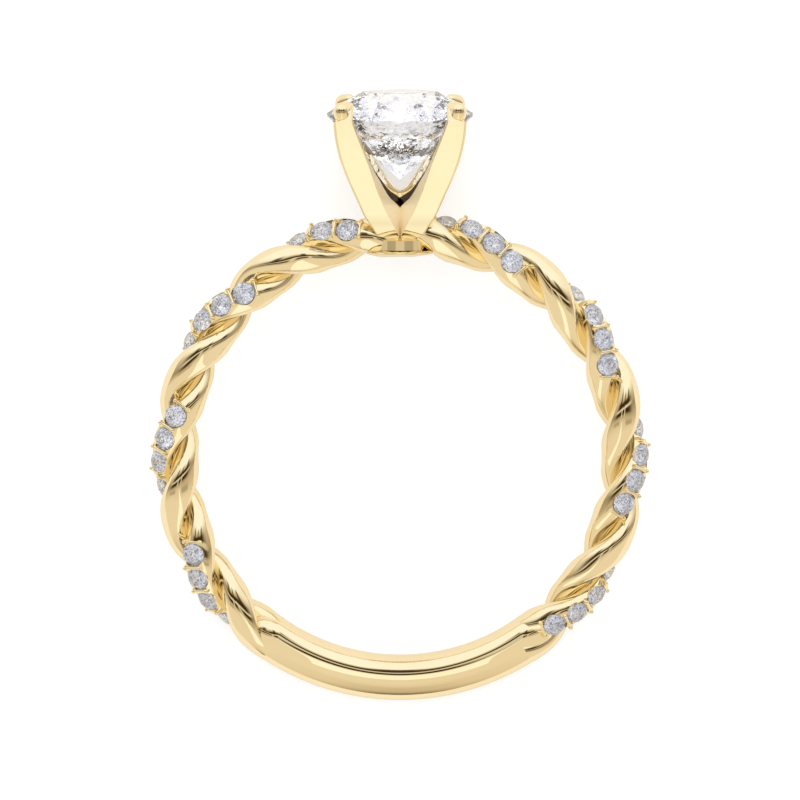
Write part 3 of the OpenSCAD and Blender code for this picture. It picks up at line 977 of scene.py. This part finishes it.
class RING_OT_beads(bpy.types.Operator):
    """Raises the bars between the accent stones, each with two beads that hold them"""

    bl_idname = "ring.beads"
    bl_label = "Bars and Beads"

    def execute(self, context):
        ring = context.scene.twisted_ring
        stones = ring.stones
        bm = bmesh.new()
        ends = (-stones.bead_side, stones.bead_side + OUTER_BEAD * MM)
        for y in ends:
            lathe(bm, [(stones.bead_r * share, height * MM) for share, height in BEAD], sides=10,
                  place=Matrix.Translation((0, y, 0)))
        half = stones.bar_w / 2
        skin(bm, [[Vector((half * share, y, height * MM)) for share, height in BAR] for y in ends])
        bead = from_bmesh("bead", bm, Matrix(), gold(ring.looks))
        made = bake("setting_beads", row_tree(), seats(ring, "setting_beads", bead_places()),
                    {"Piece": bead, "Material": gold(ring.looks)}, lie(ring))
        bpy.data.objects.remove(bead)
        shade(made.data, SHARP_BEADS)
        finished(made, "gold", "ring_gold")
        return {"FINISHED"}


class RING_OT_accent_stones(bpy.types.Operator):
    """Sets the rows of small brilliant stones"""

    bl_idname = "ring.accent_stones"
    bl_label = "Accent Stones"

    def execute(self, context):
        ring = context.scene.twisted_ring
        material = stone("Accent Stone", ring.looks, cell_scale=16000.0, share=0.32, tilt=0.35, clear=0.78,
                         top=1.0)
        shape = brilliant(ring.stones.accent_d, sides=32, table_share=0.57, crown_share=0.15)
        cut = from_bmesh("cut", shape, Matrix(), material)
        made = bake("accent_stones", row_tree(), seats(ring, "accent_stones", stone_places()),
                    {"Piece": cut, "Material": material}, lie(ring))
        bpy.data.objects.remove(cut)
        finished(made, "stone", *(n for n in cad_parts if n.startswith("accent_stone_")))
        return {"FINISHED"}


class RING_OT_centre_stone(bpy.types.Operator):
    """Cuts the centre stone as a round brilliant"""

    bl_idname = "ring.centre_stone"
    bl_label = "Centre Stone"

    def execute(self, context):
        ring = context.scene.twisted_ring
        girdle_y = ring.stones.girdle_y
        place = lie(ring) @ Matrix.Translation((0, girdle_y, 0)) @ upright()
        material = stone("Centre Stone", ring.looks, cell_scale=6500.0, share=0.1, tilt=0.05, clear=0.95,
                         top=girdle_y - 0.5 * MM)
        shape = brilliant(ring.stones.centre_d, sides=96, table_share=0.51, crown_share=0.16)
        made = from_bmesh("centre_stone_cut", shape, place, material)
        finished(made, "stone", "center_stone")
        return {"FINISHED"}


class RING_PT_build(bpy.types.Panel):
    """Lists the steps that build the ring"""

    bl_idname = "RING_PT_build"
    bl_label = "Twisted Solitaire Ring"
    bl_space_type = "VIEW_3D"
    bl_region_type = "UI"
    bl_category = "Ring"

    def draw(self, context):
        ring = context.scene.twisted_ring
        for part in (ring.shank, ring.stones, ring.head, ring.looks):
            box = self.layout.box()
            for key in part.__annotations__:
                box.prop(part, key)
        for step in STEPS:
            self.layout.operator(step.bl_idname)


STEPS = (RING_OT_stage, RING_OT_strands, RING_OT_plain_band, RING_OT_head, RING_OT_beads,
         RING_OT_accent_stones, RING_OT_centre_stone)
CLASSES = (ShankSizes, StoneSizes, HeadSizes, Finishes, RingSettings, *STEPS, RING_PT_build)


def register():
    """Adds the ring's settings, steps and panel."""
    for cls in CLASSES:
        bpy.utils.register_class(cls)
    bpy.types.Scene.twisted_ring = PointerProperty(type=RingSettings)


def unregister():
    """Takes them away again."""
    del bpy.types.Scene.twisted_ring
    for cls in reversed(CLASSES):
        bpy.utils.unregister_class(cls)


def main():
    """Builds the ring and its stage."""
    register()
    for step in STEPS:
        group, name = step.bl_idname.split(".")
        getattr(getattr(bpy.ops, group), name)()
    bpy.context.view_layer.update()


if __name__ == "__main__":
    main()
